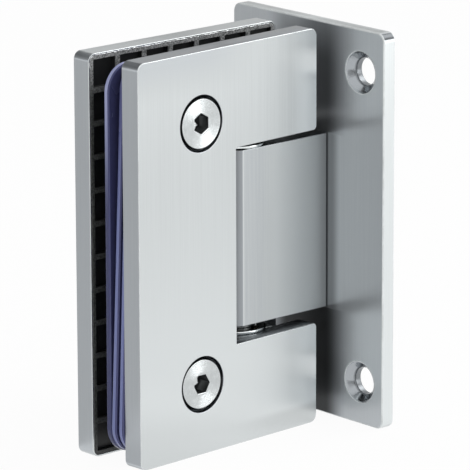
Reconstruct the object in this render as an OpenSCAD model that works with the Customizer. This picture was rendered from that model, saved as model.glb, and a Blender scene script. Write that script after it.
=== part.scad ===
// Wall-to-glass hinge clamp for a frameless shower door.
// A wall plate carries a pivot block. Two clamp plates, shown loose and slightly splayed,
// grip the glass and swing about an upright pin through the block.
// The wall surface is the plane x = 0, the front is towards -y and z is up.

/* [Clamp plates] */
// Height of the clamp plates and of the wall plate
plate_h = 90; // [84:1:100]
// Width of one clamp plate
plate_w = 54; // [50:0.5:62]
// Thickness of one clamp plate
plate_t = 5; // [4.5:0.25:7]
// Radius of the plates' outer corners
plate_r = 1.8; // [1:0.1:3]
// Radius of the corners at the notch's mouth
mouth_r = 1; // [0.4:0.1:1]
// Distance from the pin axis back to the rear plate's inner face
rear_gap = 3; // [2.6:0.1:4]
// Distance from the pin axis forward to the front plate's inner face
front_gap = 5.05; // [4.9:0.05:6.5]
// Angle by which the loose front plate stands open
front_tilt = 2.8; // [0:0.1:3]
// Slip of the loose front plate towards the wall
front_slip = 0.5; // [0:0.1:0.8]
// How far the notch reaches past the pin axis
notch_past_pin = 10.05; // [9.5:0.05:12]

/* [Wall plate] */
// Width of the wall plate
wall_w = 49.3; // [46:0.1:60]
// Thickness of the wall plate
wall_t = 3.5; // [3:0.1:6]
// Radius of the wall plate's corners
wall_r = 2; // [1:0.1:4]
// Spacing of the wall holes across the plate
hole_pitch_y = 34.4; // [32:0.1:40]
// Spacing of the wall holes up the plate
hole_pitch_z = 70.7; // [66:0.1:74]
// Diameter of a wall hole
hole_d = 6; // [4:0.1:6.5]
// Diameter of a wall hole's countersink
hole_csk_d = 9.4; // [8.6:0.1:10.5]
// Clear space between the wall plate and the rear clamp plate
wall_gap = 6.7; // [5:0.1:8]

/* [Pivot block] */
// Distance from the wall plate's face to the pin axis
pin_offset = 21.5; // [20.5:0.1:24]
// Thickness of the pivot block
block_t = 13; // [12.4:0.1:14]
// Height of the pivot block
block_h = 40; // [39:0.5:44]
// How far the block's flat sides run past the pin axis
flat_past_pin = 3.5; // [2:0.1:4]
// Length of one bush in the block
bush_len = 9; // [6:0.5:9.5]
// Wall thickness of a bush
bush_wall = 1.2; // [0.8:0.1:1.4]
// Thickness of one thrust washer
washer_t = 0.8; // [0.7:0.1:1.5]
// Diameter of a thrust washer
washer_d = 13.6; // [12:0.1:15]
// Radius of a thrust washer's edges
washer_r = 0.3; // [0.1:0.05:0.35]

/* [Pivot pin] */
// Diameter of the pivot pin
pin_d = 8; // [7:0.1:8.2]
// Length of pin held in each saddle
saddle_grip = 10; // [8:0.5:10.5]
// Thickness of a saddle's side walls
saddle_wall = 3.5; // [2.5:0.1:4]
// Thickness of a saddle's closed end
saddle_end = 2; // [1.5:0.1:2.5]
// Width across the flats of the pin's ends
pin_across_flats = 7; // [6:0.1:7]
// Depth of a detent flat on the pin
detent_depth = 0.6; // [0.3:0.05:0.8]
// Distance of a detent from mid height
detent_z = 6; // [5:0.1:6.3]
// Diameter of a detent plunger
plunger_d = 6.8; // [5.5:0.1:7]
// Length of a detent plunger's head
plunger_len = 8; // [5:0.5:9]
// Wire diameter of a detent spring
wire_d = 0.9; // [0.6:0.1:1]
// Turns of a detent spring
spring_turns = 5; // [3:1:7]

/* [Screws] */
// Distance from the notch edge to the clamp screws
screw_to_notch = 9.45; // [8.8:0.05:12]
// Height of the clamp screws from mid height
screw_z = 29.15; // [28:0.05:31]
// Shank diameter of a clamp screw
screw_d = 6; // [5:0.1:6.2]
// Head diameter of a clamp screw
head_d = 11; // [10:0.1:11.2]
// Diameter of the countersink for a clamp screw
csk_d = 12.6; // [12.4:0.1:13.4]
// Depth of the straight wall above that countersink
csk_land = 1.2; // [0.4:0.1:1.4]
// Depth of a clamp screw's head below the plate's face
head_seat = 0.3; // [0.2:0.05:0.35]
// How far the upper clamp screw is backed out
upper_slack = 0.3; // [0:0.05:0.6]
// Width across the flats of a hexagon socket
hex_af = 4; // [3:0.5:5]
// Outside diameter of a screw sleeve
sleeve_d = 8.4; // [7.8:0.1:9]
// Shank diameter of a block screw
block_screw_d = 5; // [4:0.1:5.4]
// Head diameter of a block screw
block_head_d = 9.5; // [8.5:0.1:10]
// Height of the block screws from mid height
block_screw_z = 14.5; // [13.4:0.1:15.5]
// Length of a block screw
block_screw_len = 12; // [9:0.5:14]

/* [Liner and gaskets] */
// Thickness of the moulded liner
liner_t = 2; // [1.5:0.1:2.5]
// Steel rim left around the liner
liner_rim = 0.5; // [0.4:0.1:1]
// Width of the liner's border
liner_lip = 0.85; // [0.6:0.05:1.5]
// Width of a rib between two waffle cells
rib_w = 1.2; // [0.8:0.1:2]
// Depth of a waffle cell
cell_depth = 1.2; // [0.6:0.1:1.3]
// Waffle cells across the liner
cell_cols = 7; // [4:1:8]
// Waffle cells up the liner
cell_rows = 12; // [6:1:14]
// Thickness of one gasket sheet
gasket_t = 1.5; // [1:0.1:1.6]
// Width of one gasket sheet
gasket_w = 27; // [24:0.5:27.5]
// Height of one gasket sheet
gasket_h = 86.5; // [78:0.5:87]
// Corner radius of a gasket sheet
gasket_r = 6; // [2:0.5:8]
// Diameter of the screw holes in a gasket sheet
gasket_hole_d = 12.2; // [11.4:0.1:13]
// Distance from the notch's edge to the front gasket sheet
gasket_to_notch = 0.25; // [0.2:0.05:1.5]
// Angle by which the front sheet hangs askew
front_skew = 2.3; // [0:0.1:2.4]
// Angle by which the middle sheet hangs askew
middle_skew = 2.5; // [0:0.1:2.5]
// Angle by which the back sheet hangs askew
back_skew = 0.15; // [0:0.05:0.6]

/* [Fits] */
// Running clearance of the pin in its bushes
running_fit = 0.05; // [0.02:0.01:0.08]
// Clearance of a part that is pressed or screwed in
seat_fit = 0.03; // [0.02:0.01:0.06]
// Clear space beside each thrust washer, where the loose leaf can rise and fall
end_play = 1.3; // [0.5:0.1:2]
// Clearance of the pin through the middle of the block
bore_clear = 0.3; // [0.3:0.05:0.5]
// Clearance of a screw in its hole
screw_clear = 0.4; // [0.35:0.05:0.6]

/* [Hidden] */
$fn = 64;
eps = 0.5;
pin_x = -wall_t - pin_offset;
pin_r = pin_d / 2;
notch_z = block_h / 2 + washer_t + end_play;
leaf_right = pin_offset - wall_gap;
leaf_left = leaf_right - plate_w;
half_h = plate_h / 2;
screw_x = -notch_past_pin - screw_to_notch;
screw_r = screw_d / 2;
thread_depth = plate_t - 0.8;
front_face_d = front_gap + plate_t;
front_hole_x = screw_x / cos(front_tilt) - front_face_d * tan(front_tilt);
front_hole_y = -(front_face_d - screw_x * sin(front_tilt)) / cos(front_tilt);
head_y = front_hole_y + head_seat;
head_land = csk_land + 0.15;
screw_tip_y = rear_gap + plate_t - 1;
upper_turn = 30;
lower_turn = 0;
block_head_seat = 0.15;
block_head_land = 0.1;
block_csk_r = block_head_d / 2 + block_head_seat + block_head_land + seat_fit;
boss_r = screw_r + 3;
saddle_half = pin_across_flats / 2 + seat_fit + saddle_wall;
saddle_top = notch_z + saddle_grip + saddle_end;
saddle_front = front_gap - 0.6;
nose_r = sqrt(flat_past_pin * flat_past_pin + block_t * block_t / 4);
bush_r = pin_r + running_fit + bush_wall;
plunger_r = plunger_d / 2;
plunger_nose = pin_r + bore_clear;
plunger_back = plunger_nose + plunger_len;
tail_r = plunger_r / 2 - 0.2;
tail_len = 3;
wire_r = wire_d / 2;
coil_r = plunger_r - wire_r - 0.5;
liner_r = 1.2;
liner_left = leaf_left + liner_rim;
liner_right = leaf_right - liner_rim;
liner_half_h = half_h - liner_rim;
liner_notch_x = -max(notch_past_pin, saddle_half) - 1;
liner_notch_z = saddle_top + 0.8;
cell_pitch_x = (liner_right - liner_left - 2 * liner_lip + rib_w) / cell_cols;
cell_pitch_z = (2 * liner_half_h - 2 * liner_lip + rib_w) / cell_rows;
cell_w = cell_pitch_x - rib_w;
cell_h = cell_pitch_z - rib_w;
sheet_gap = 0.33;
sheet_right = screw_to_notch - gasket_to_notch;
front_sheet_y = -front_gap + 0.02;
middle_sheet_y = front_sheet_y + gasket_t + sheet_gap;
back_sheet_y = middle_sheet_y + gasket_t + 0.2;
back_tilt = 0.7 * front_tilt;

// Rounded rectangle from (x0, y0) to (x1, y1)
module round_rect(x0, y0, x1, y1, r) {
  translate([x0 + r, y0]) square([x1 - x0 - 2 * r, y1 - y0]);
  translate([x0, y0 + r]) square([x1 - x0, y1 - y0 - 2 * r]);
  for (x = [x0 + r, x1 - r]) for (y = [y0 + r, y1 - r]) translate([x, y]) circle(r);
}

// Arm of a C-shaped outline above the notch, with the corner at the notch's mouth rounded by m
module arm_outline(x0, x1, half, r, notch_half, m) {
  translate([x0, notch_half + m]) square([x1 - x0, half - notch_half - r - m]);
  translate([x0 + r, notch_half + m]) square([x1 - x0 - 2 * r, half - notch_half - m]);
  translate([x0 + r, notch_half]) square([x1 - x0 - r - m, half - notch_half - r]);
  for (x = [x0 + r, x1 - r]) translate([x, half - r]) circle(r);
  translate([x1 - m, notch_half + m]) circle(m);
}

// C-shaped outline: a left strip with an arm above and below the notch
module c_outline(x0, x1, half, r, notch_x, notch_half, m) {
  translate([x0, -half + r]) square([notch_x - x0, 2 * half - 2 * r]);
  arm_outline(x0, x1, half, r, notch_half, m);
  mirror([0, 1]) arm_outline(x0, x1, half, r, notch_half, m);
}

// Sheet in the x-z plane whose back face lies at y
module sheet(y, t) {
  translate([0, y, 0]) rotate([90, 0, 0]) linear_extrude(t) children();
}

// Children moved to the pin axis
module at_pin() {
  translate([pin_x, 0, 0]) children();
}

// Children turned with the loose front plate
module on_front_plate(angle) {
  at_pin() rotate([0, 0, angle]) children();
}

// Tube along z
module tube(h, outer, inner) {
  difference() {
    cylinder(h = h, r = outer);
    translate([0, 0, -eps]) cylinder(h = h + 2 * eps, r = inner);
  }
}

// Countersunk screw along +z with the top of its head at z = 0 and a hexagon socket
module countersunk_screw(head_r, shank_r, len, land, af, socket_depth) {
  difference() {
    rotate_extrude() polygon([
      [0, 0],
      [head_r, 0],
      [head_r, land],
      [shank_r, land + head_r - shank_r],
      [shank_r, len - 0.5],
      [shank_r - 0.5, len],
      [0, len]
    ]);
    translate([0, 0, -eps]) cylinder(h = socket_depth + eps, r = af / 2 / cos(30), $fn = 6);
  }
}

// Countersunk hole along +z entering at z = 0, with a straight wall above the cone
module countersunk_hole(rim_r, hole_r, depth, land) {
  rotate_extrude() polygon([
    [0, -eps],
    [rim_r, -eps],
    [rim_r, land],
    [hole_r, land + rim_r - hole_r],
    [hole_r, depth + eps],
    [0, depth + eps]
  ]);
}

module wall_plate() {
  color([0.78, 0.79, 0.8]) difference() {
    translate([-wall_t, 0, 0]) rotate([90, 0, 90]) linear_extrude(wall_t)
      round_rect(-wall_w / 2, -half_h, wall_w / 2, half_h, wall_r);
    for (y = [-1, 1]) for (z = [-1, 1])
      translate([-wall_t, y * hole_pitch_y / 2, z * hole_pitch_z / 2]) rotate([0, 90, 0])
        countersunk_hole(hole_csk_d / 2, hole_d / 2, wall_t, 0);
    for (z = [-1, 1])
      translate([0, 0, z * block_screw_z]) rotate([0, -90, 0])
        countersunk_hole(block_csk_r, block_screw_d / 2 + 0.2, wall_t, 0);
  }
}

module block_outline() {
  intersection() {
    translate([-nose_r - 1, -block_t / 2]) square([nose_r + 1 + pin_offset, block_t]);
    union() {
      circle(nose_r);
      translate([0, -block_t]) square([pin_offset + 1, 2 * block_t]);
    }
  }
}

module pivot_block() {
  color([0.74, 0.75, 0.76]) at_pin() difference() {
    translate([0, 0, -block_h / 2]) linear_extrude(block_h) block_outline();
    translate([0, 0, -block_h / 2 - eps]) cylinder(h = block_h + 2 * eps, r = pin_r + bore_clear);
    for (z = [-block_h / 2 - eps, block_h / 2 - bush_len])
      translate([0, 0, z]) cylinder(h = bush_len + eps, r = bush_r + seat_fit);
    for (z = [-1, 1]) {
      translate([0, 0, z * detent_z]) rotate([0, 90, 0])
        cylinder(h = pin_offset + eps, r = plunger_r + running_fit);
      translate([pin_offset + eps, 0, z * block_screw_z]) rotate([0, -90, 0])
        cylinder(h = block_screw_len - wall_t + 1 + eps, r = block_screw_d / 2 + seat_fit);
    }
  }
}

module block_screws() {
  color([0.6, 0.61, 0.63]) for (z = [-1, 1])
    translate([-block_head_seat, 0, z * block_screw_z]) rotate([0, -90, 0])
      countersunk_screw(block_head_d / 2, block_screw_d / 2, block_screw_len, block_head_land, hex_af - 1, 2);
}

// Plain bush of the block, from z upwards
module bush(z) {
  color([0.72, 0.58, 0.3]) at_pin() translate([0, 0, z]) tube(bush_len, bush_r, pin_r + running_fit);
}

module upper_bush() {
  bush(block_h / 2 - bush_len);
}

module lower_bush() {
  bush(-block_h / 2);
}

// Thrust washer with rounded edges, from z upwards
module washer(z) {
  color([0.86, 0.87, 0.88]) at_pin() translate([0, 0, z]) rotate_extrude()
    round_rect(pin_r + bore_clear, 0, washer_d / 2, washer_t, washer_r);
}

module upper_washer() {
  washer(block_h / 2);
}

module lower_washer() {
  washer(-notch_z);
}

module front_plate() {
  color([0.8, 0.81, 0.82]) on_front_plate(front_tilt) difference() {
    sheet(-front_gap, plate_t) translate([front_slip, 0])
      c_outline(leaf_left, leaf_right, half_h, plate_r, -notch_past_pin, notch_z, mouth_r);
    for (z = [-1, 1])
      translate([front_hole_x, -front_face_d, z * screw_z]) rotate([-90, 0, 0])
        countersunk_hole(csk_d / 2, screw_r + screw_clear, plate_t, csk_land);
  }
}

// Outline of the liner, grown all round by g, with room for the screw bosses
module liner_outline(g) {
  difference() {
    c_outline(liner_left - g, liner_right + g, liner_half_h + g, liner_r + g, liner_notch_x + g,
      liner_notch_z - g, liner_r + g);
    for (z = [-1, 1]) translate([screw_x, z * screw_z]) circle(boss_r + seat_fit - g);
  }
}

// Saddle that holds one end of the pin, drawn for the upper end
module saddle() {
  translate([-saddle_half, -saddle_front, notch_z])
    cube([2 * saddle_half, saddle_front + rear_gap + 0.5, saddle_top - notch_z]);
}

// Slot for one end of the pin, open towards the front
module saddle_slot() {
  translate([-pin_across_flats / 2 - seat_fit, -saddle_front - eps, notch_z - eps])
    cube([pin_across_flats + 2 * seat_fit, saddle_front + eps + pin_r + seat_fit, saddle_grip + eps]);
}

module rear_plate() {
  color([0.76, 0.77, 0.78]) at_pin() difference() {
    union() {
      difference() {
        sheet(rear_gap + plate_t, plate_t)
          c_outline(leaf_left, leaf_right, half_h, plate_r, -notch_past_pin, notch_z, mouth_r);
        sheet(rear_gap + liner_t, liner_t + eps) liner_outline(seat_fit);
      }
      saddle();
      mirror([0, 0, 1]) saddle();
    }
    saddle_slot();
    mirror([0, 0, 1]) saddle_slot();
    for (z = [-1, 1])
      translate([screw_x, rear_gap - eps, z * screw_z]) rotate([-90, 0, 0])
        cylinder(h = thread_depth + eps, r = screw_r + seat_fit);
  }
}

// True when a waffle cell lies clear of the notch
function cell_fits(x1, z0, z1) =
  x1 < liner_notch_x - liner_lip || min(abs(z0), abs(z1)) > liner_notch_z + liner_lip;

module waffle_cells() {
  for (i = [0 : cell_cols - 1]) for (j = [0 : cell_rows - 1]) {
    x0 = liner_left + liner_lip + i * cell_pitch_x;
    z0 = -liner_half_h + liner_lip + j * cell_pitch_z;
    if (cell_fits(x0 + cell_w, z0, z0 + cell_h)) translate([x0, z0]) square([cell_w, cell_h]);
  }
}

module rear_liner() {
  color([0.06, 0.06, 0.06]) at_pin() difference() {
    sheet(rear_gap + liner_t, liner_t) liner_outline(0);
    sheet(rear_gap + cell_depth, cell_depth + eps) difference() {
      waffle_cells();
      for (z = [-1, 1]) translate([screw_x, z * screw_z]) circle(boss_r + 1.4);
    }
  }
}

// Loose gasket sheet with its front face at y, hung askew on the clamp screws and drawn back from the notch
module gasket(y, back, skew, angle) {
  right = sheet_right - back;
  color([0.35, 0.36, 0.62]) on_front_plate(angle) translate([front_hole_x, 0, 0]) rotate([0, skew, 0])
    sheet(y + gasket_t, gasket_t) difference() {
      round_rect(right - gasket_w, -gasket_h / 2, right, gasket_h / 2, gasket_r);
      for (z = [-1, 1]) translate([0, z * screw_z]) circle(gasket_hole_d / 2);
    }
}

module front_gasket() {
  gasket(front_sheet_y, 0, front_skew, front_tilt);
}

module middle_gasket() {
  gasket(middle_sheet_y, 0.25, middle_skew, front_tilt);
}

module back_gasket() {
  gasket(back_sheet_y, 1.05, back_skew, back_tilt);
}

// Clamp screw through the front plate into the rear plate, with its socket turned and its head backed out
module clamp_screw(z, turn, slack) {
  color([0.84, 0.85, 0.86]) at_pin() translate([screw_x, head_y - slack, z]) rotate([-90, 0, 0])
    rotate([0, 0, turn]) countersunk_screw(head_d / 2, screw_r, screw_tip_y - head_y, head_land, hex_af, 3);
}

module upper_clamp_screw() {
  clamp_screw(screw_z, upper_turn, upper_slack);
}

module lower_clamp_screw() {
  clamp_screw(-screw_z, lower_turn, 0);
}

// Sleeve that keeps the glass off a clamp screw
module sleeve(z) {
  color([0.85, 0.85, 0.83]) at_pin() translate([screw_x, rear_gap, z]) rotate([90, 0, 0])
    tube(rear_gap - front_hole_y - plate_t - 0.6, sleeve_d / 2, screw_r + 0.2);
}

module upper_sleeve() {
  sleeve(screw_z);
}

module lower_sleeve() {
  sleeve(-screw_z);
}

module pivot_pin() {
  reach = notch_z + saddle_grip - seat_fit;
  color([0.7, 0.71, 0.72]) at_pin() difference() {
    translate([0, 0, -reach]) cylinder(h = 2 * reach, r = pin_r);
    for (s = [-1, 1]) {
      for (z = [notch_z, -reach - eps])
        translate([s > 0 ? pin_across_flats / 2 : -pin_across_flats / 2 - pin_d, -pin_d, z])
          cube([pin_d, 2 * pin_d, reach + eps - notch_z]);
      for (a = [-90, 0, 90])
        rotate([0, 0, a]) translate([pin_r - detent_depth, -pin_d, s * detent_z - plunger_r - 0.4])
          cube([pin_d, 2 * pin_d, 2 * plunger_r + 0.8]);
    }
  }
}

// Sprung plunger that rides on the pin's detent flats, drawn back clear of the pin
module plunger(z) {
  color([0.66, 0.67, 0.69]) at_pin() translate([plunger_nose, 0, z]) rotate([0, 90, 0]) {
    cylinder(h = plunger_len, r = plunger_r);
    translate([0, 0, plunger_len - 0.1]) cylinder(h = tail_len + 0.1, r = tail_r);
  }
}

module upper_plunger() {
  plunger(detent_z);
}

module lower_plunger() {
  plunger(-detent_z);
}

// Coil spring between a plunger and the wall plate, swept as rings of wire sections
module coil_spring(z) {
  sides = 8;
  steps = 20 * spring_turns;
  rise = pin_offset - plunger_back - 2 * wire_r - 0.04;
  points = [for (i = [0 : steps]) for (j = [0 : sides - 1])
    let (a = 360 * spring_turns * i / steps, b = 360 * j / sides)
    let (r = coil_r + wire_r * cos(b))
    [wire_r + 0.02 + rise * i / steps + wire_r * sin(b), r * cos(a), r * sin(a)]];
  walls = [for (i = [0 : steps - 1]) for (j = [0 : sides - 1])
    let (k = (j + 1) % sides)
    [i * sides + j, i * sides + k, (i + 1) * sides + k, (i + 1) * sides + j]];
  start = [for (j = [0 : sides - 1]) sides - 1 - j];
  end = [for (j = [0 : sides - 1]) steps * sides + j];
  color([0.6, 0.6, 0.6]) at_pin() translate([plunger_back, 0, z])
    polyhedron(points, concat([start], walls, [end]));
}

module upper_spring() {
  coil_spring(detent_z);
}

module lower_spring() {
  coil_spring(-detent_z);
}

wall_plate();
pivot_block();
block_screws();
upper_bush();
lower_bush();
upper_washer();
lower_washer();
front_plate();
rear_plate();
rear_liner();
front_gasket();
middle_gasket();
back_gasket();
upper_clamp_screw();
lower_clamp_screw();
upper_sleeve();
lower_sleeve();
pivot_pin();
upper_plunger();
lower_plunger();
upper_spring();
lower_spring();
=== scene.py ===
# %% [markdown]
# # Dressing a wall-to-glass hinge clamp
#
# The part is a hinge for a frameless shower door. A wall plate carries a pivot block, and two brushed
# steel plates clamp the glass and swing on a pin through that block. The solids arrive finished, in metres
# and in one frame: x = 0 is the wall, the front is towards -y and z is up. This lesson gives each piece
# its surface: bevelled edges, brushing, turned screws, moulded plastic, and the studio around it.

# %% Load the solids
import math

import bpy
import numpy as np
from mathutils import Matrix, Vector


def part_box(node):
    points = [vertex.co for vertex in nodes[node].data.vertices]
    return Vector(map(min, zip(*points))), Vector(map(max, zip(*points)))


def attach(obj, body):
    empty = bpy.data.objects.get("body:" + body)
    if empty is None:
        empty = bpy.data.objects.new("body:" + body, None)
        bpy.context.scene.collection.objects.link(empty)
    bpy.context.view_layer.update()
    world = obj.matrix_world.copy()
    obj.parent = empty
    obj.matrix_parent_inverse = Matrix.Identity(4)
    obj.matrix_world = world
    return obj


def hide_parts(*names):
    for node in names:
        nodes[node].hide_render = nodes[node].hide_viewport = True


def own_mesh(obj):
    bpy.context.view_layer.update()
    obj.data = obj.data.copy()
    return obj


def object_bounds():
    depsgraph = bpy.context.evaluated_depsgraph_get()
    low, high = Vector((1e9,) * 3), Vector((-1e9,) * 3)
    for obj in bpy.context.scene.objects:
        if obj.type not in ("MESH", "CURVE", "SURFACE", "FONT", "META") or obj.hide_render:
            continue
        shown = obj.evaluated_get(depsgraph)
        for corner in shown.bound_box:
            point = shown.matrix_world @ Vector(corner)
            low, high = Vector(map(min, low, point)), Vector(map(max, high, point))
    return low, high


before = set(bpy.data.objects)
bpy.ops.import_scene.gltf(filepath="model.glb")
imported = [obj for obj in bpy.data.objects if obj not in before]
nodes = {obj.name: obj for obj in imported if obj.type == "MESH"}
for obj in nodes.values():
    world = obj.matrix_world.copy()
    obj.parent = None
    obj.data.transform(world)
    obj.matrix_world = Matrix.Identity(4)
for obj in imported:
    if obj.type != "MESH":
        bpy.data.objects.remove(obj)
cad_low, cad_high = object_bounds()
MM = 0.001
print("solids:", len(nodes), "box in mm:", [round(v / MM, 1) for v in (*cad_low, *cad_high)])

# %% [markdown]
# ## The camera
#
# A long lens flattens perspective, which is how small hardware is photographed for a catalogue. The camera
# could be placed by eye, but a direction, a distance and a point to look at are easier to reason about:
# azimuth turns it about the upright axis, elevation lifts it, and roll is the small tilt of a hand-set tripod.

# %% Place the camera
CAMERA_AZIMUTH = math.radians(-41.672)
CAMERA_ELEVATION = math.radians(14.418)
CAMERA_ROLL = math.radians(-0.196)
CAMERA_DISTANCE = 0.97453
CAMERA_LENS_MM = 337.69
CAMERA_SENSOR_MM = 36.0
LOOK_AT = Vector((-0.02518, 0.0, -0.000935))


def direction(azimuth, elevation):
    """Unit vector from the object towards a point at that azimuth (0 is -y, positive to +x) and elevation."""
    flat = math.cos(elevation)
    return Vector((math.sin(azimuth) * flat, -math.cos(azimuth) * flat, math.sin(elevation)))


camera_back = direction(CAMERA_AZIMUTH, CAMERA_ELEVATION)
camera = bpy.data.objects.new("camera", bpy.data.cameras.new("camera"))
camera.data.lens = CAMERA_LENS_MM
camera.data.sensor_width = CAMERA_SENSOR_MM
camera.rotation_mode = "QUATERNION"
upright_turn = (-camera_back).to_track_quat("-Z", "Y")
camera.rotation_quaternion = upright_turn @ Matrix.Rotation(CAMERA_ROLL, 3, "Z").to_quaternion()
camera.location = LOOK_AT + camera_back * CAMERA_DISTANCE
bpy.context.scene.collection.objects.link(camera)
bpy.context.scene.camera = camera
bpy.context.scene.view_settings.view_transform = "Standard"
print("camera at", [round(v, 4) for v in camera.location])

# %% [markdown]
# ## Node trees as arithmetic
#
# A material is a graph of nodes. Wiring each Math node by hand hides the idea, so one small class wraps an
# output socket and lets Python's operators add the nodes: `1 - mask * 0.5` becomes two Math nodes. Everything
# that isn't arithmetic goes through one function that takes the node's type, its settings and its inputs.


# %% A wire class and a node maker
class Wire:
    """An output socket in a node tree. Arithmetic with numbers or other wires adds Math nodes."""

    def __init__(self, tree, socket):
        self.tree = tree
        self.socket = socket

    def math(self, operation, other=0.0, swap=False):
        """The result of a Math node on this wire and another value, in swapped order if asked."""
        pair = (other, self) if swap else (self, other)
        return add_node(self.tree, "ShaderNodeMath", {"operation": operation}, {0: pair[0], 1: pair[1]})

    def __add__(self, other):
        return self.math("ADD", other)

    def __sub__(self, other):
        return self.math("SUBTRACT", other)

    def __rsub__(self, other):
        return self.math("SUBTRACT", other, swap=True)

    def __mul__(self, other):
        return self.math("MULTIPLY", other)

    __radd__ = __add__
    __rmul__ = __mul__


def add_node(tree, kind, settings=None, inputs=None, output=0):
    """Adds a node, applies its settings, fills its sockets with wires or plain values, returns one output."""
    node = tree.nodes.new(kind)
    for key, value in (settings or {}).items():
        setattr(node, key, value)
    for key, value in (inputs or {}).items():
        if isinstance(value, Wire):
            tree.links.new(value.socket, node.inputs[key])
        else:
            node.inputs[key].default_value = value
    return Wire(tree, node.outputs[output])


def ramp(value, low, high, start=0.0, end=1.0):
    """Runs smoothly from start to end while value goes from low to high."""
    sockets = {"Value": value, "From Min": low, "From Max": high, "To Min": start, "To Max": end}
    return add_node(value.tree, "ShaderNodeMapRange", {"interpolation_type": "SMOOTHSTEP"}, sockets)


def mix_colour(factor, first, second):
    """Blends two colours; a factor of 0 gives the first."""
    settings = {"data_type": "RGBA"}
    return add_node(factor.tree, "ShaderNodeMix", settings, {0: factor, 6: first, 7: second}, 2)


def opaque(red, green, blue):
    """A colour without transparency."""
    return (red, green, blue, 1.0)


def blend(mask, low, high):
    """low where the mask is 0 and high where it is 1; all three may be wires."""
    return low + mask * (high - low)


def grey_blue(level, cool=0.035, violet=0.0):
    """A steel colour of that brightness, a touch cooler than grey; violet adds blue alone."""
    return opaque(level * (1 - cool), level * (1 + cool * 0.3), level * (1 + cool * 0.5 + violet))


WHITE = opaque(1.0, 1.0, 1.0)
BLACK = opaque(0.0, 0.0, 0.0)
print("shader helpers ready")

# %% [markdown]
# ## The studio
#
# Brushed metal has almost no colour of its own: it shows what stands around it. So the studio matters more than
# any lamp. The floor and the sky are white to the camera and in reflections, through the Light Path node, while
# they light the object at a plain level. The floor mixes in some plain diffuse white, which keeps the
# shadow under the part.

# %% White surroundings
SKY_LIGHT = 0.62
FLOOR_GLOW = 0.95
FLOOR_COLOUR = opaque(0.95, 0.95, 0.95)
FLOOR_HALF = 4.0


def seen_directly(tree):
    """1 for camera, glossy and transmission rays, 0 for the rays that only carry light."""
    path = tree.nodes.new("ShaderNodeLightPath")
    camera_ray = Wire(tree, path.outputs["Is Camera Ray"])
    glossy_ray = Wire(tree, path.outputs["Is Glossy Ray"])
    through_ray = Wire(tree, path.outputs["Is Transmission Ray"])
    return camera_ray.math("MAXIMUM", glossy_ray).math("MAXIMUM", through_ray)


def emission(tree, colour):
    """An Emission shader of that colour, at which a strength of 1 shows it as written."""
    return add_node(tree, "ShaderNodeEmission", inputs={"Color": colour, "Strength": 1.0})


def mixed(tree, factor, first, second):
    """A Mix Shader: the first shader at factor 0, the second at 1."""
    return add_node(tree, "ShaderNodeMixShader", inputs={0: factor, 1: first, 2: second})


def output_to(tree, shader, kind="ShaderNodeOutputMaterial"):
    """Sends a shader to the tree's output."""
    end = tree.nodes.new(kind)
    tree.links.new(shader.socket, end.inputs["Surface"])


def empty_material(name):
    """A material with an empty node tree."""
    material = bpy.data.materials.new(name)
    material.use_nodes = True
    material.node_tree.nodes.clear()
    return material


world = bpy.data.worlds.new("white_sky")
world.use_nodes = True
sky = world.node_tree
sky.nodes.clear()
lit = add_node(sky, "ShaderNodeBackground", inputs={"Color": WHITE, "Strength": SKY_LIGHT})
white = add_node(sky, "ShaderNodeBackground", inputs={"Color": WHITE, "Strength": 1.0})
output_to(sky, mixed(sky, seen_directly(sky), lit, white), "ShaderNodeOutputWorld")
bpy.context.scene.world = world

floor_finish = empty_material("white_floor")
tree = floor_finish.node_tree
paper = add_node(tree, "ShaderNodeBsdfDiffuse", inputs={"Color": FLOOR_COLOUR})
glow = emission(tree, WHITE)
output_to(tree, mixed(tree, seen_directly(tree) * FLOOR_GLOW, paper, glow))


def flat_panel(name, corners, material):
    """A four-cornered panel of the studio, which isn't part of the object."""
    mesh = bpy.data.meshes.new(name)
    mesh.from_pydata([tuple(corner) for corner in corners], [], [(0, 1, 2, 3)])
    panel = bpy.data.objects.new(name, mesh)
    mesh.materials.append(material)
    bpy.context.scene.collection.objects.link(panel)
    return panel


def level_corners(left, right, front, back, height):
    """Corners of a level rectangle at that height."""
    return [(left, front, height), (right, front, height), (right, back, height), (left, back, height)]


floor_z = cad_low.z
flat_panel("floor", level_corners(-FLOOR_HALF, FLOOR_HALF, -FLOOR_HALF, FLOOR_HALF, floor_z), floor_finish)
print("floor at", round(floor_z / MM, 2), "mm")

# %% [markdown]
# ## Softboxes and flags
#
# A photographer of polished hardware shapes reflections with softboxes, which draw bright lines along edges, and
# with grey or black flags, which give each side its own tone. Flags are plain panels that the camera looks through.
# Each panel is set along the direction in which a face of the clamp mirrors the camera.

# %% Lamps and flags
OBJECT_MIDDLE = Vector((-0.032, 0.0, 0.0))


def softbox(name, azimuth, elevation, distance, size, watts):
    """A square area lamp at that direction and distance, turned to face the object."""
    lamp = bpy.data.lights.new(name, "AREA")
    lamp.shape = "SQUARE"
    lamp.size = size
    lamp.energy = watts
    holder = bpy.data.objects.new(name, lamp)
    outward_line = direction(math.radians(azimuth), math.radians(elevation))
    holder.location = OBJECT_MIDDLE + outward_line * distance
    holder.rotation_mode = "QUATERNION"
    holder.rotation_quaternion = (-outward_line).to_track_quat("-Z", "Y")
    bpy.context.scene.collection.objects.link(holder)
    return holder


def flag_finish(name, level):
    """A panel of that grey for reflections, clear to the camera and to light."""
    material = empty_material(name)
    tree = material.node_tree
    path = tree.nodes.new("ShaderNodeLightPath")
    glossy_ray = Wire(tree, path.outputs["Is Glossy Ray"])
    clear = add_node(tree, "ShaderNodeBsdfTransparent")
    output_to(tree, mixed(tree, glossy_ray, clear, emission(tree, opaque(level, level, level))))
    return material


def flag(name, corners, level):
    """A flat panel with those corners that shows as that grey in reflections only."""
    return flat_panel(name, corners, flag_finish(name, level))


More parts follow.
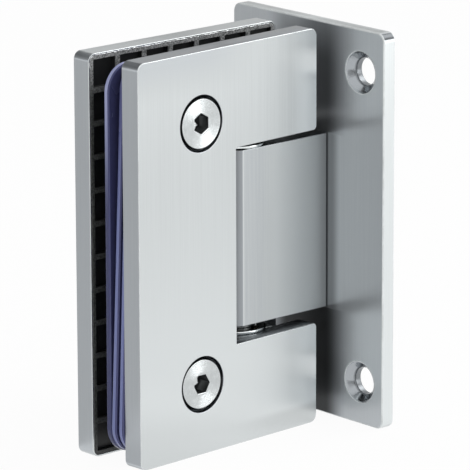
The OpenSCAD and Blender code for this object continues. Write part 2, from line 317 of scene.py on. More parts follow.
softbox("front_strip", azimuth=28, elevation=9, distance=0.55, size=0.26, watts=0.44)
softbox("high_right", azimuth=69, elevation=46, distance=0.6, size=0.36, watts=1.1)

BACK_FLAG_Y = 0.30
BACK_FLAG_TOP = 0.40


def back_flag(name, left, right, low, level):
    """An upright flag behind the object, between two x and from a height up to the common top."""
    corners = [(left, BACK_FLAG_Y, low), (right, BACK_FLAG_Y, low),
               (right, BACK_FLAG_Y, BACK_FLAG_TOP), (left, BACK_FLAG_Y, BACK_FLAG_TOP)]
    return flag(name, corners, level)


# Seen in the plates' rounded corners
back_flag("dark_back", left=-0.36, right=0.13, low=0.06, level=0.05)
# Seen in the plates' upper edges
back_flag("grey_back", left=0.13, right=0.5, low=0.05, level=0.72)
# Just above the floor behind the left end, seen in the plates' upright ends and in the wall plate
FLOOR_CARD_LIFT_MM = 0.1
card_corners = level_corners(-0.6, 0.0, 0.012, 0.6, floor_z + FLOOR_CARD_LIFT_MM * MM)
flag("grey_floor_card", card_corners, 0.68)
# In front, where the photographer stands, seen in the wall plate's countersinks
STAND_DISTANCE = 0.5
STAND_HALF_WIDTH = 0.06
STAND_HEIGHT = 0.3
stand = direction(CAMERA_AZIMUTH, 0.0) * STAND_DISTANCE
aside = Vector((math.cos(CAMERA_AZIMUTH), math.sin(CAMERA_AZIMUTH), 0.0)) * STAND_HALF_WIDTH
foot = Vector((stand.x, stand.y, floor_z))
head = foot + Vector((0.0, 0.0, STAND_HEIGHT))
flag("dark_stand", [foot - aside, foot + aside, head + aside, head - aside], 0.04)

# %% [markdown]
# ## Edges
#
# No machined edge is perfectly sharp: a small bevel catches the light as a thin bright line. The bevel could be
# modelled in the solid, but a modifier does it for every edge at once and leaves the CAD mesh untouched. That mesh
# is loose triangles, so Weld joins them first, Decimate merges the flat ones, and Bevel then works on the true
# edges. The liner keeps its triangles, because one face round so many cells can't be drawn. Weighted normals keep the
# flat faces flat while the bevels shade smoothly.


# %% Break the edges of a solid
WELD_DISTANCE_MM = 0.002
FLAT_ANGLE = math.radians(1)
EDGE_ANGLE = math.radians(28)
BEVEL_SEGMENTS = 3


def break_edges(node_name, width_mm, merge_flats):
    """Adds the modifiers that round off a solid's edges by that width; merge_flats joins its flat triangles."""
    piece = nodes[node_name]
    piece.data.shade_smooth()
    weld = piece.modifiers.new("join", "WELD")
    weld.merge_threshold = WELD_DISTANCE_MM * MM
    if merge_flats:
        flatten = piece.modifiers.new("flatten", "DECIMATE")
        flatten.decimate_type = "DISSOLVE"
        flatten.angle_limit = FLAT_ANGLE
    if width_mm > 0:
        bevel = piece.modifiers.new("edge", "BEVEL")
        bevel.width = width_mm * MM
        bevel.segments = BEVEL_SEGMENTS
        bevel.limit_method = "ANGLE"
        bevel.angle_limit = EDGE_ANGLE
        bevel.use_clamp_overlap = False
        bevel.miter_outer = "MITER_ARC"
    shade = piece.modifiers.new("shade", "WEIGHTED_NORMAL")
    shade.mode = "FACE_AREA"
    shade.keep_sharp = False
    return piece


EDGE_BREAK_MM = {
    "wall_plate": 0.4,
    "pivot_block": 0.2,
    "front_plate": 0.16,
    "rear_plate": 0.16,
    "rear_liner": 0.16,
    "front_gasket": 0.45,
    "middle_gasket": 0.45,
    "back_gasket": 0.45,
    "pivot_pin": 0.2,
    "upper_sleeve": 0.2,
    "lower_sleeve": 0.2,
    "upper_bush": 0.15,
    "lower_bush": 0.15,
    "upper_plunger": 0.3,
    "lower_plunger": 0.3,
    "upper_washer": 0.0,
    "lower_washer": 0.0,
    "upper_spring": 0.0,
    "lower_spring": 0.0,
}
for node_name, width_mm in EDGE_BREAK_MM.items():
    break_edges(node_name, width_mm, merge_flats=node_name != "rear_liner")
print("edges broken on", len(EDGE_BREAK_MM), "solids")

# %% [markdown]
# ## Brushed steel
#
# The plates are drawn along a belt that leaves fine upright scratches, and their edges are ground along their length.
# Stretched noise makes the scratches: its value changes quickly across them and hardly at all along them. The
# surface normal tells a broad face from an edge or a bevel, so one finish serves a whole plate. An anisotropic
# shader spreads reflections across the scratches, as the real grooves do.


# %% Brushed steel finish
def coordinates(tree, output="Object"):
    """The piece's own coordinates, or another output of the Texture Coordinate node."""
    return add_node(tree, "ShaderNodeTexCoord", output=output)


def streaks(tree, scale_xyz, detail=3.0, rough=0.6):
    """Noise from 0 to 1, stretched by giving each axis its own number of waves per metre."""
    stretched = add_node(tree, "ShaderNodeMapping", inputs={"Vector": coordinates(tree), "Scale": scale_xyz})
    settings = {"noise_dimensions": "3D"}
    return add_node(tree, "ShaderNodeTexNoise", settings,
                    {"Vector": stretched, "Scale": 1.0, "Detail": detail, "Roughness": rough})


def towards(tree, axis):
    """How far the surface faces towards an axis: 1 straight towards it, -1 straight away."""
    normal = coordinates(tree, "Normal")
    settings = {"operation": "DOT_PRODUCT"}
    return add_node(tree, "ShaderNodeVectorMath", settings, {0: normal, 1: axis}, "Value")


def facing(tree, axis):
    """How squarely the surface lies across an axis: 1 on a face across it, 0 on a side."""
    return towards(tree, axis).math("ABSOLUTE")


def bump(tree, height, strength, distance_mm):
    """A Bump node for the Normal socket."""
    return add_node(tree, "ShaderNodeBump",
                    inputs={"Height": height, "Strength": strength, "Distance": distance_mm * MM})


def principled(tree, **sockets):
    """A Principled shader with those sockets, named with underscores for spaces."""
    return add_node(tree, "ShaderNodeBsdfPrincipled",
                    inputs={key.replace("_", " "): value for key, value in sockets.items()})


def part_of(tree, axis):
    """One coordinate of the surface point, in millimetres."""
    split = tree.nodes.new("ShaderNodeSeparateXYZ")
    tree.links.new(coordinates(tree).socket, split.inputs[0])
    return Wire(tree, split.outputs[axis]) * (1 / MM)


def brushed_steel(name, squareness, levels, patches, contrast=0.04, sheen=0.0, line_sheen=0.4):
    """Steel brushed upright where squareness is 1, ground where it is 0, with bevels lit as painted highlight and wear.

    levels names the brightness of the broad face, of the edges, of those that lie level (top), of their round upper
    corners and of the patchy bevels (line); edge, top and corner are painted light and shade by the way a surface
    faces.
    sheen and line_sheen are the shares of the broad face and of the bevels that scatter light. squareness and patches
    are functions of the tree; patches lists masks, each with the brightness and the change of roughness under it.
    """
    material = empty_material(name)
    tree = material.node_tree
    fine = streaks(tree, (6500, 6500, 45))
    broad = streaks(tree, (1500, 1500, 12), detail=2.0)
    lengthwise = streaks(tree, (45, 6500, 6500))
    patchy = ramp(streaks(tree, (160, 160, 160)), 0.35, 0.6, 0.82, 1.0)
    square = squareness(tree)
    face = ramp(square, 0.93, 0.985)
    side = ramp(square, 0.35, 0.1)
    rise = towards(tree, (0, 0, 1))
    lying = ramp(rise.math("ABSOLUTE"), 0.4, 0.8)
    corner = side * ramp(rise, 0.2, 0.4) * ramp(rise, 0.97, 0.85)
    bevel_wear_and_highlight = 1 - face.math("MAXIMUM", side)
    grain = (fine * 0.75 + broad * 0.25) * (1 - lying) + lengthwise * lying
    # Edges, level tops and round upper corners get their own levels: painted light and shade by the way they face.
    level = blend(corner, blend(lying, levels["edge"], levels["top"]), levels["corner"])
    level = blend(face, level, levels["face"]) * (1 - contrast + ramp(grain, 0.25, 0.75) * (2 * contrast))
    # The bevels' bright patchy level and their lower metallic share are partly wear and partly a painted highlight.
    level = blend(bevel_wear_and_highlight, level, patchy * levels["line"])
    roughness = 0.24 + grain * 0.14 - bevel_wear_and_highlight * 0.1
    for mask, patch_level, patch_roughness in patches(tree, face, side):
        level = blend(mask, level, patch_level)
        roughness = roughness + mask * patch_roughness
        bevel_wear_and_highlight = bevel_wear_and_highlight * (1 - mask)
    tint = mix_colour(ramp(level, 0.52, 0.68), grey_blue(1.0, 0.045, 0.045), grey_blue(1.0))
    shader = principled(tree, Base_Color=mix_colour(level, BLACK, tint),
                        Metallic=1 - face * sheen - bevel_wear_and_highlight * line_sheen, Roughness=roughness, Anisotropic=0.75,
                        Normal=bump(tree, grain, 0.06, 0.02))
    output_to(tree, shader)
    return material


def across_y(tree):
    """1 on the clamp plates' broad faces."""
    return facing(tree, (0, 1, 0))


def across_x(tree):
    """1 on the wall plate's broad faces."""
    return facing(tree, (1, 0, 0))


def upright(tree):
    """1 on every upright surface of the block."""
    return 1 - facing(tree, (0, 0, 1))


def around(value, centre):
    """Distance of a coordinate from plus or minus a centre."""
    return value.math("ABSOLUTE") - centre


print("brushed steel maker ready")

# %% [markdown]
# ## Where the steel changes tone
#
# Brushing doesn't give each place its tone, so these patches paint light and shade into the steel. Each piece lists
# its patches as masks that are built from the surface point's coordinates in millimetres: painted shade on the notch's
# walls, painted reflection in the countersinks, a dark painted strip round the block's foot, painted shade on the nose.
# Masks are soft steps that are multiplied, so a patch ends gently.

# %% Patches of the plates and the block
CLAMP_SCREW_X, CLAMP_SCREW_Z = -45.0, 29.15
PLATE_LEFT_X, NOTCH_LEFT_X, PLATE_RIGHT_X = -62.0, -36.0, -10.8
PLATE_INNER_TOP_Z = 43.4
WALL_HOLE_Y, WALL_HOLE_Z = 17.2, 35.35
WALL_SINK_R, WALL_BORE_R = 4.65, 3.2
WALL_FRONT_X = -3.4
BLOCK_TOP_Z = 20.0
BLOCK_CREASE_X = -28.4
DULL = 0.12


def plate_patches(tree, face, side):
    """Painted shade on notch walls, seats and inner faces, and painted light on faces lower down and to the right."""
    x, y, z = (part_of(tree, axis) for axis in range(3))
    height = z.math("ABSOLUTE")
    low_half = ramp(z, 1.0, -1.0)
    rear = ramp(y, 0.0, 2.0)
    inside = rear * ramp(towards(tree, (0, -1, 0)), 0.9, 0.98) * ramp(x, -22, -20) * ramp(height, 30, 28)
    beside_notch = ramp(x, NOTCH_LEFT_X - 0.2, NOTCH_LEFT_X + 0.2) * ramp(x, PLATE_RIGHT_X + 0.2, PLATE_RIGHT_X - 0.2)
    notch = beside_notch * ramp(height, PLATE_INNER_TOP_Z + 0.2, PLATE_INNER_TOP_Z - 0.2) * side
    seat_x = (x - CLAMP_SCREW_X).math("ABSOLUTE")
    seat_z = around(z, CLAMP_SCREW_Z).math("ABSOLUTE")
    seat = ramp(seat_x, 7.2, 6.9) * ramp(seat_z, 6.9, 6.6) * (1 - face)
    left_end = ramp(towards(tree, (-1, 0, 0)), 0.9, 0.98) * (1 - rear)
    right = ramp(x, -18, -12) * ramp(z, 45, 36, 0.5, 1.0)
    low_left = ramp(z + (x - PLATE_LEFT_X) * 0.2, -27, -45)
    high_left = ramp(z, 34, 45) * ramp(x, -20, -45)
    low_right = ramp(z, -39.5, -41.5) * ramp(x, -40, -18)
    # All painted: the broad faces brighter lower down and to the right as painted light, darker at the lower left,
    # upper left and lower right as painted reflection; painted shade on the left ends' feet, the notch walls, the rear
    # plate's inner face and the screw seats, which are also rougher.
    return [
        (face * ramp(z, 25, -40), 0.84, 0.0),
        (face * right, 0.95, 0.0),
        (face * low_left, 0.67, 0.0),
        (face * high_left, 0.6, 0.0),
        (face * low_right, 0.68, 0.0),
        (left_end * ramp(z, -32, -42), 0.41, 0.0),
        (notch * (1 - low_half), 0.03, DULL),
        (notch * low_half, 0.26, DULL),
        (notch * low_half * rear, 0.06, DULL),
        (inside, 0.08, DULL),
        (seat, 0.55, DULL),
    ]


def wall_patches(tree, face, _side):
    """Painted reflection in the countersinks, and painted shade in the bores, beside the block and round its foot."""
    x, y, z = (part_of(tree, axis) for axis in range(3))
    distance = y.math("ABSOLUTE")
    across, up = around(y, WALL_HOLE_Y), around(z, WALL_HOLE_Z)
    radius = (across * across + up * up).math("SQRT")
    sunk = ramp(radius, WALL_SINK_R + 0.15, WALL_SINK_R) * (1 - face)
    bore = ramp(radius, WALL_BORE_R + 0.2, WALL_BORE_R) * (1 - face)
    front = ramp(x, WALL_FRONT_X + 0.2, WALL_FRONT_X) * face
    flank = ramp(z.math("ABSOLUTE"), BLOCK_TOP_Z + 0.4, BLOCK_TOP_Z - 0.2)
    beside = ramp(distance, 11.0, 8.0) * flank
    contact = ramp(distance, 6.95, 6.75) * flank
    strip = ramp((y - 0.3).math("ABSOLUTE"), 13.5, 6.3) * (1 - flank)
    fade = ramp(z, 46, 36, 0.5, 1.0) * ramp(z, 10, -10, 0.79, 1.0)
    # Painted light and shade: the countersinks darker as painted reflection, the bores and the face beside the block as
    # painted shade, a darker painted line where the block meets the plate, and a dark strip round the block's foot as
    # painted reflection of the clamp, fading towards the top and the bottom.
    return [
        (sunk, 0.42, 0.0),
        (bore, 0.26, 0.0),
        (front * beside, 0.26, 0.0),
        (front * contact, 0.15, 0.0),
        (front * strip * fade, 0.045, 0.0),
    ]


def block_patches(tree, face, _side):
    """Painted shade on the nose and the foot, a painted highlight on the crease, and painted reflection along the
    flank.
    """
    x = part_of(tree, 0)
    crease = ramp((x - BLOCK_CREASE_X).math("ABSOLUTE"), 0.3, 0.1)
    # All painted: the flank lighter past x -18 and a touch darker past -15 as painted reflection, a darker nose as
    # painted shade, a bright crease as painted highlight and a dark foot against the wall plate as painted shade; the
    # nose and foot are also a little rougher.
    return [
        (face * ramp(x, -24, -18), 0.7, 0.0),
        (face * ramp(x, -15, -5), 0.67, 0.0),
        (face * ramp(x, BLOCK_CREASE_X + 0.2, BLOCK_CREASE_X - 0.3), 0.4, 0.05),
        (face * crease, 0.7, 0.0),
        (ramp(x, -3.9, -3.7), 0.22, 0.1),
    ]


def dress(node_name, material):
    """Gives a CAD node one material in place of its own."""
    piece = nodes[node_name]
    piece.data.materials.clear()
    piece.data.materials.append(material)
    return piece


# Painted light and shade: each plate's edge, top and corner levels set its sides lighter or darker, and the block's
# level faces at 0.1 are painted shade in the gaps above and below it.
front_levels = {"face": 0.7, "edge": 0.55, "top": 0.36, "corner": 0.28, "line": 0.85}
rear_levels = {"face": 0.7, "edge": 0.56, "top": 0.65, "corner": 0.42, "line": 0.8}
wall_levels = {"face": 0.57, "edge": 0.84, "top": 0.7, "corner": 0.14, "line": 0.95}
block_levels = {"face": 0.62, "edge": 0.1, "top": 0.1, "corner": 0.1, "line": 0.6}
front_finish = brushed_steel("brushed_front_plate", across_y, front_levels, plate_patches)
rear_finish = brushed_steel("brushed_rear_plate", across_y, rear_levels, plate_patches)
wall_finish = brushed_steel("brushed_wall_plate", across_x, wall_levels, wall_patches, sheen=0.4, line_sheen=0.8)
block_finish = brushed_steel("brushed_block", upright, block_levels, block_patches, contrast=0.07)
dress("front_plate", front_finish)
dress("rear_plate", rear_finish)
dress("wall_plate", wall_finish)
dress("pivot_block", block_finish)
print("brushed:", front_finish.name, rear_finish.name, wall_finish.name, block_finish.name)

# %% [markdown]
# ## Plain steel, brass and nylon inside
#
# The pin, plungers, springs, bushes and sleeves hardly show, but the part may be taken apart, so they get finishes
# too. Turned steel carries rings round its axis and nylon is faintly cloudy. One function covers the metals, with the
# ring direction given by the axis across which they were turned.


# %% Inner finishes
def ground_metal(name, colour, roughness, ring_scale, depth=0.14):
    """Metal with grinding marks, stretched by the waves per metre along each axis and darker by that depth."""
    material = empty_material(name)
    tree = material.node_tree
    marks = streaks(tree, ring_scale)
    darker = opaque(*(channel * (1 - depth) for channel in colour[:3]))
    shade = mix_colour(ramp(marks, 0.3, 0.7), darker, colour)
    shader = principled(tree, Base_Color=shade, Metallic=1.0, Roughness=roughness + marks * 0.12,
                        Normal=bump(tree, marks, 0.1, 0.02))
    output_to(tree, shader)
    return material


def cloudy_plastic(name, colour, roughness):
    """Natural plastic whose colour drifts a little, with a faintly uneven skin."""
    material = empty_material(name)
    tree = material.node_tree
    cloud = streaks(tree, (320, 320, 320), detail=4.0)
    darker = opaque(*(channel * 0.88 for channel in colour[:3]))
    shade = mix_colour(ramp(cloud, 0.3, 0.7), darker, colour)
    shader = principled(tree, Base_Color=shade, Roughness=roughness + cloud * 0.15,
                        Normal=bump(tree, cloud, 0.1, 0.03))
    output_to(tree, shader)
    return material


def washer_shaded_flats(name):
    """A polished washer whose flat faces are painted near black as shade in the gaps and whose rim is bright."""
    material = empty_material(name)
    tree = material.node_tree
    flat_mottle = streaks(tree, (300, 300, 300))
    flat = ramp(facing(tree, (0, 0, 1)), 0.75, 0.95)
    # The flat faces' near black is painted shade of the narrow gaps by the block, mottled a little.
    level = blend(flat, 0.86, 0.02 + flat_mottle * 0.04)
    shader = principled(tree, Base_Color=mix_colour(level, BLACK, grey_blue(1.0)), Metallic=1.0,
                        Roughness=0.08 + flat_mottle * 0.06)
    output_to(tree, shader)
    return material


pin_finish = ground_metal("ground_pin", grey_blue(0.3), 0.2, (400, 400, 5000))
washer_finish = washer_shaded_flats("polished_washer")
bush_finish = ground_metal("turned_brass", opaque(0.4, 0.27, 0.12), 0.2, (400, 400, 5000))
sleeve_finish = cloudy_plastic("nylon_sleeve", opaque(0.72, 0.71, 0.67), 0.4)
for node_name in ("pivot_pin", "upper_plunger", "lower_plunger", "upper_spring", "lower_spring"):
    dress(node_name, pin_finish)
for node_name in ("upper_washer", "lower_washer"):
    dress(node_name, washer_finish)
for node_name in ("upper_bush", "lower_bush"):
    dress(node_name, bush_finish)
for node_name in ("upper_sleeve", "lower_sleeve"):
    dress(node_name, sleeve_finish)
print("inner finishes:", pin_finish.name, washer_finish.name, bush_finish.name, sleeve_finish.name)

# %% [markdown]
# ## The moulded liner
#
# The black liner is injection moulded with a waffle of ribs, so that it stays flat as it cools. Its skin is spark
# eroded: a fine even grain that scatters the little light it returns. The cells are painted near black as painted
# shade, and the ribs' tops grey, most of all near the upper edge, as painted light. Depth below the front tells the
# tops from the cells, and two noises add grain and drifts in shine.


# %% Liner finish
def moulded_black(name):
    """Black moulded plastic, painted shade in the cells, painted light on high rib tops, a grain bump and drifts in
    shine.
    """
    material = empty_material(name)
    tree = material.node_tree
    grain = streaks(tree, (3500, 3500, 3500), detail=2.0)
    drift = streaks(tree, (150, 150, 150), detail=2.0)
    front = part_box("rear_liner")[0].y / MM
    # Rib tops against cells; the cells are painted near black as painted shade.
    rib_top_mask = ramp(part_of(tree, 1), front + 0.45, front + 0.1)
    deep = mix_colour(drift, opaque(0.010, 0.011, 0.011), opaque(0.018, 0.019, 0.019))
    rib_top_grain = ramp(grain, 0.35, 0.65)
    low_top = mix_colour(rib_top_grain, opaque(0.03, 0.032, 0.031), opaque(0.1, 0.105, 0.1))
    high_top = mix_colour(rib_top_grain, opaque(0.13, 0.135, 0.135), opaque(0.5, 0.51, 0.51))
    # Rib tops lighter towards the upper edge: painted light.
    top = mix_colour(ramp(part_of(tree, 2), 34, 43.5), low_top, high_top)
    shader = principled(tree, Base_Color=mix_colour(rib_top_mask, deep, top), Roughness=0.36 + drift * 0.2,
                        Normal=bump(tree, grain, 0.25, 0.04))
    output_to(tree, shader)
    return material


liner_finish = moulded_black("moulded_liner")
dress("rear_liner", liner_finish)
print("liner:", liner_finish.name)

# %% [markdown]
# ## The gasket sheets
#
# Three loose sheets of tinted plastic hang between the plates. Light that enters a clear sheet is trapped and leaves
# at its rim, so the rim looks pale and the face dark. Here that is painted: the face takes a deep violet and the rim a
# paler one as painted light, with a painted shadow line between them on the bevel, all told apart by the normal. The
# rims change colour with height, also painted light and shade. Some of the light passes through.


# %% Gasket finish
def tinted_sheet(name, high_rim, low_rim):
    """Violet-blue sheet plastic, partly see-through; its rim is painted light and shade, one colour high, another low.
    """
    material = empty_material(name)
    tree = material.node_tree
    cloud = streaks(tree, (90, 90, 25), detail=2.0)
    square = facing(tree, (0, 1, 0))
    height = part_of(tree, 2)
    face = ramp(square, 0.95, 0.99)
    rim = ramp(square, 0.4, 0.25)
    # The paler rim is painted light, and shadow_line a painted shadow on the bevel.
    shadow_line = ramp((square - 0.58).math("ABSOLUTE"), 0.2, 0.12)
    flat = mix_colour(cloud, opaque(0.048, 0.051, 0.14), opaque(0.08, 0.086, 0.205))
    rim_colour = mix_colour(ramp(height, 8, 40), low_rim, high_rim)
    colour = mix_colour(face, opaque(0.108, 0.12, 0.29), flat)
    colour = mix_colour(rim, colour, rim_colour)
    colour = mix_colour(shadow_line, colour, opaque(0.06, 0.065, 0.2))
    shader = principled(tree, Base_Color=colour, Roughness=0.2 + cloud * 0.12, IOR=1.45,
                        Transmission_Weight=0.2, Normal=bump(tree, cloud, 0.05, 0.1))
    output_to(tree, shader)
    return material


# The back sheet's rim is painted pale at the top and near black below, and the other sheets' rims are painted lighter
# below: painted light and shade.
outer_finish = tinted_sheet("tinted_back_gasket", opaque(0.5, 0.54, 0.86), opaque(0.058, 0.068, 0.18))
sheet_finish = tinted_sheet("tinted_gasket", opaque(0.18, 0.195, 0.42), opaque(0.265, 0.305, 0.62))
dress("back_gasket", outer_finish)
for node_name in ("front_gasket", "middle_gasket"):
    dress(node_name, sheet_finish)
print("gaskets:", outer_finish.name, sheet_finish.name)

# %% [markdown]
# ## The screws
#
# A countersunk screw is turned on a lathe and its hexagon socket is punched. Its whole skin is one grid: rows follow
# the profile from the bottom of the socket, over the head and down the shank, and columns go round. Each row has a
# radius, a depth and a share of hexagon. Facing the head leaves fine rings, which are real grooves here, because only
# tilted surfaces give the bright wedges that turned metal shows. The thread is a helix added to the radius.

# %% The screw's skin
COLUMNS = 96
RING_PITCH_MM = 0.15
RING_SLOPE = math.tan(math.radians(21))
BITE_MM = 0.75
BITE_WIDTH = 0.34
SOCKET_ROWS = 7
TIP_ROWS = 4
THREAD_PITCH_MM = 1.0
THREAD_DEPTH_MM = 0.55


def hexagon(angle):
    """Radius of a hexagon round the circle whose radius is its corner distance, as a share of that distance."""
    third = math.pi / 3
    return math.cos(third / 2) / np.cos(np.mod(angle, third) - third / 2)


def screw_rows(length, head_r, land, shank_r, socket_af, socket_depth, thread_from):
    """Each row's depth and radius in mm, and its shares of hexagon, thread and painted shade, from socket to tip."""
    corner = socket_af / 2 / math.cos(math.pi / 6)
    cone_end = land + head_r - shank_r
    rings = np.arange(corner + 0.28, head_r - 0.3, RING_PITCH_MM / 4)
    ring_height = RING_SLOPE * RING_PITCH_MM / 4
    ring_depth = ring_height * (1 + np.sin(2 * math.pi * rings / RING_PITCH_MM))
    thread = np.arange(thread_from, length - 0.7, THREAD_PITCH_MM / 8)
    depth = np.concatenate([
        [socket_depth + 0.5, socket_depth, socket_depth, 0.16, 0.04, 0.0, 0.0], ring_depth,
        [0.0, 0.02, 0.07, 0.15, land, land + 0.05], [cone_end - 0.02, cone_end + 0.05, thread_from - 0.3], thread,
        [length - 0.6, length - 0.5, length, length]])
    radius = np.concatenate([
        [0.0, corner - 0.03, corner - 0.01, corner, corner + 0.05, corner + 0.12, corner + 0.25], rings,
        [head_r - 0.22, head_r - 0.1, head_r - 0.02, head_r, head_r, head_r - 0.05],
        [shank_r + 0.02, shank_r, shank_r], np.full(len(thread), shank_r),
        [shank_r - 0.2, shank_r - 0.25, shank_r - 0.7, 0.0]])
    hexness = np.concatenate([[0, 1, 1, 1, 1, 0.8, 0.3], np.zeros(len(depth) - SOCKET_ROWS)])
    ramp_in = np.clip((thread - thread_from) / THREAD_PITCH_MM, 0, 1)
    threadness = np.concatenate([np.zeros(len(depth) - len(thread) - TIP_ROWS), ramp_in, [1, 0, 0, 0]])
    head_rows = len(rings) + 2
    bright_end = SOCKET_ROWS + head_rows
    # darkness is painted shade: in the socket and on the head's rim, cone and shank, where the countersink hides them.
    darkness = np.concatenate([[1, 1, 1, 0.7, 0, 0, 0], np.zeros(head_rows), np.ones(len(depth) - bright_end)])
    return depth, radius, hexness, threadness, darkness


def outward(points, faces):
    """The faces, turned over if the solid that they close has a negative volume."""
    corners = points[faces]
    volume = np.einsum("ij,ij->i", corners[:, 0], np.cross(corners[:, 1], corners[:, 2])).sum()
    volume += np.einsum("ij,ij->i", corners[:, 0], np.cross(corners[:, 2], corners[:, 3])).sum()
    return faces if volume > 0 else faces[:, ::-1]


def wrapped_grid(name, grid, point_shade, material, body):
    """A closed skin from rows of points that go round; the first and last rows are single points.

    point_shade gives each point of the grid a value that the material reads as the attribute shade.
    """
    rows, columns, _ = grid.shape
    inner = grid[1:-1].reshape(-1, 3)
    points = np.vstack([inner, grid[0, :1], grid[-1, :1]])
    index = np.arange((rows - 2) * columns).reshape(rows - 2, columns)
    turned = np.roll(index, -1, axis=1)
    quads = np.stack([index[:-1], index[1:], turned[1:], turned[:-1]], axis=-1).reshape(-1, 4)
    first, last = len(inner), len(inner) + 1
    start = np.stack([np.full(columns, first), index[0], turned[0], np.full(columns, first)], axis=-1)
    end = np.stack([np.full(columns, last), turned[-1], index[-1], np.full(columns, last)], axis=-1)
    faces = outward(points, np.vstack([quads, start, end]))
    mesh = bpy.data.meshes.new(name)
    mesh.from_pydata(points.tolist(), [], [list(dict.fromkeys(face)) for face in faces.tolist()])
    mesh.shade_smooth()
    shade = np.concatenate([point_shade[1:-1].ravel(), point_shade[[0, -1], 0]])
    mesh.attributes.new("shade", "FLOAT", "POINT").data.foreach_set("value", shade.astype(np.float32))
    mesh.materials.append(material)
    piece = bpy.data.objects.new(name, mesh)
    bpy.context.scene.collection.objects.link(piece)
    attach(piece, body)
    return piece


def screw_grid(origin, along, across, rows, turn, bite_at=None):
    """Points and shades of the skin: origin + along * depth + radius * (across turned round along), row by row.

    bite_at is the angle at which a slipped key has chewed the socket's wall, which is pushed in there by a bell curve.
    """
    depth, radius, hexness, threadness, darkness = rows
    angle = np.linspace(0, 2 * math.pi, COLUMNS, endpoint=False)
    flats = 1 + hexness[:, None] * (hexagon(angle + turn)[None, :] - 1)
    wave = np.abs(np.mod(depth[:, None] / THREAD_PITCH_MM + angle[None, :] / (2 * math.pi), 1) * 2 - 1)
    reach = radius[:, None] * flats - threadness[:, None] * THREAD_DEPTH_MM * wave
    shade = np.repeat(darkness[:, None], COLUMNS, axis=1)
    if bite_at is not None:
        ragged = 1 + 0.3 * np.sin(angle * 23) + 0.2 * np.sin(angle * 41)
        bite = np.exp(-((angle - bite_at) / BITE_WIDTH) ** 2) * ragged
        share = np.zeros(len(depth))
        share[1:SOCKET_ROWS] = (0.5, 0.6, 1.0, 1.0, 0.8, 0.4)
        reach = reach - BITE_MM * share[:, None] * bite[None, :]
        shade = shade * (1 - np.clip(bite * 1.3, 0, 1)[None, :] * (share[:, None] >= 0.8))
    third = np.cross(along, across)
    round_vectors = np.cos(angle)[:, None] * across + np.sin(angle)[:, None] * third
    points = origin + depth[:, None, None] * MM * along + (reach * MM)[:, :, None] * round_vectors[None, :, :]
    return points, shade


print("screw skin:", COLUMNS, "columns, a ring each", RING_PITCH_MM, "mm")

# %% [markdown]
# ## Making the four screws
#
# Two screws clamp the plates and two hold the block from behind. Each skin is fitted to the box of the solid that it
# replaces. The sockets of the clamp screws are chewed on one side by a slipped key, as a used screw's are.


# %% Make the four screws
def turned_steel(name):
    """Bright turned steel, with painted shade in the socket and under the head, where the attribute shade is 1."""
    material = empty_material(name)
    tree = material.node_tree
    shade = add_node(tree, "ShaderNodeAttribute", {"attribute_name": "shade"}, output="Fac")
    marks = streaks(tree, (900, 900, 900))
    bright = mix_colour(ramp(marks, 0.3, 0.7), grey_blue(0.6), grey_blue(0.66))
    colour = mix_colour(shade, bright, grey_blue(0.07))
    shader = principled(tree, Base_Color=colour, Metallic=1.0, Roughness=0.2 + marks * 0.06 + shade * 0.1,
                        Normal=bump(tree, marks, 0.03, 0.02))
    output_to(tree, shader)
    return material


screw_finish = turned_steel("turned_screw")
CLAMP_SCREW = {"land": 1.35, "shank_r": 3.0, "socket_af": 4.0, "socket_depth": 3.0, "thread_from": 11.0}
BLOCK_SCREW = {"land": 0.2, "shank_r": 2.5, "socket_af": 3.0, "socket_depth": 2.0, "thread_from": 4.5}


def make_clamp_screw(node_name, turn, bite_at):
    """A clamp screw in the place of its solid, head towards the front."""
    low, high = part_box(node_name)
    head_r = (high.x - low.x) / 2 / MM
    rows = screw_rows((high.y - low.y) / MM, head_r, **CLAMP_SCREW)
    origin = np.array([(low.x + high.x) / 2, low.y, (low.z + high.z) / 2])
    along, across = np.array([0.0, 1.0, 0.0]), np.array([1.0, 0.0, 0.0])
    grid, shade = screw_grid(origin, along, across, rows, turn, bite_at)
    piece = wrapped_grid(node_name + "_turned", grid, shade, screw_finish, "leaf")
    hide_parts(node_name)
    return piece


def make_block_screw(name, side):
    """One of the two screws that hold the block, head towards the wall; side is 1 for the upper one."""
    low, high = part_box("block_screws")
    head_r = (high.y - low.y) / 2 / MM
    rows = screw_rows((high.x - low.x) / MM, head_r, **BLOCK_SCREW)
    height = high.z - head_r * MM if side > 0 else low.z + head_r * MM
    origin = np.array([high.x, 0.0, height])
    along, across = np.array([-1.0, 0.0, 0.0]), np.array([0.0, 1.0, 0.0])
    grid, shade = screw_grid(origin, along, across, rows, turn=0.0)
    piece = wrapped_grid(name, grid, shade, screw_finish, "bracket")
    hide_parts("block_screws")
    return piece


screws = [
    make_clamp_screw("upper_clamp_screw", turn=math.radians(30), bite_at=math.radians(180)),
    make_clamp_screw("lower_clamp_screw", turn=0.0, bite_at=math.radians(205)),
    make_block_screw("upper_block_screw_turned", side=1),
    make_block_screw("lower_block_screw_turned", side=-1),
]
print("screws:", [(s.name, len(s.data.polygons)) for s in screws])

# %% [markdown]
# ## The burr round the liner's pocket
#
# Milling the pocket for the liner raises a ragged little burr on the steel rim, and it glints along the top. It is a
# thin tube along the pocket's edge: up the left end, round the corner and along the top. Its radius and its path wander
# by smoothed random numbers with a fixed seed, so that each run gives the same burr.

# %% Make the burr
BURR_RADIUS_MM = 0.11
BURR_POINTS = 420
BURR_SIDES = 8
CORNER_R_MM = 1.2
CORNER_STEPS = 24
LEFT_RUN_MM = 2.5


def wander(count, window, seed):
    """Random numbers from -1 to 1, averaged over a window of neighbours and scaled back up."""
    raw = np.random.default_rng(seed).uniform(-1, 1, count + window)
    smooth = np.convolve(raw, np.ones(window) / window, mode="same")[:count]
    return smooth / np.abs(smooth).max()


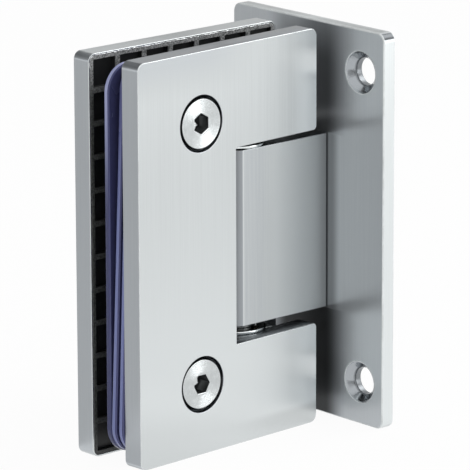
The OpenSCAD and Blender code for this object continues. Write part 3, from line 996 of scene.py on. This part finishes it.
def pocket_path(count):
    """Points and side directions in x and z along the pocket's edge, at even steps, in millimetres."""
    low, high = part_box("rear_liner")
    left, right, top = low.x / MM, high.x / MM, high.z / MM
    turn = np.linspace(math.pi, math.pi / 2, CORNER_STEPS)
    corner_x = left + CORNER_R_MM * (1 + np.cos(turn))
    corner_z = top - CORNER_R_MM * (1 - np.sin(turn))
    corner = np.stack([corner_x, corner_z], axis=1)
    line = np.vstack([[left, top - CORNER_R_MM - LEFT_RUN_MM], corner, [right - CORNER_R_MM, top]])
    travelled = np.concatenate([[0], np.cumsum(np.linalg.norm(np.diff(line, axis=0), axis=1))])
    steps = np.linspace(0, travelled[-1], count)
    path = np.stack([np.interp(steps, travelled, line[:, k]) for k in (0, 1)], axis=1)
    along = np.gradient(path, axis=0)
    along /= np.linalg.norm(along, axis=1)[:, None]
    return path, np.stack([-along[:, 1], along[:, 0]], axis=1)


def make_burr():
    """The burr as a closed tube on the rear plate's inner face."""
    face_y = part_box("rear_liner")[0].y / MM
    path, side = pocket_path(BURR_POINTS)
    path = path + side * (0.14 * wander(BURR_POINTS, 5, 3) + 0.06)[:, None]
    radius = BURR_RADIUS_MM * (1 + 0.9 * wander(BURR_POINTS, 3, 5))
    radius[[0, -1]] = 0.0
    angle = np.linspace(0, 2 * math.pi, BURR_SIDES, endpoint=False)
    sideways = radius[:, None] * np.cos(angle)
    x = path[:, :1] + side[:, :1] * sideways
    z = path[:, 1:] + side[:, 1:] * sideways
    y = face_y + radius[:, None] * np.sin(angle)
    grid = np.stack([x, y, z], axis=-1) * MM
    no_shade = np.zeros(grid.shape[:2])
    return wrapped_grid("pocket_burr", grid, no_shade, burr_finish, "leaf")


burr_finish = ground_metal("bright_burr", grey_blue(0.92, 0.01), 0.22, (1500, 1500, 1500), depth=0.75)
burr = make_burr()
print("burr:", burr.name, len(burr.data.polygons), "faces")

# %% [markdown]
# ## Springs that follow their plungers
#
# Each detent spring is held between the wall plate and its plunger. When the plunger slides in, the spring shortens by
# the same travel: its end at the wall plate stays, and its length scales towards that end.

# %% Shorten the springs with their plungers
for side_name in ("upper", "lower"):
    spring = nodes[f"{side_name}_spring"]
    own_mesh(spring)
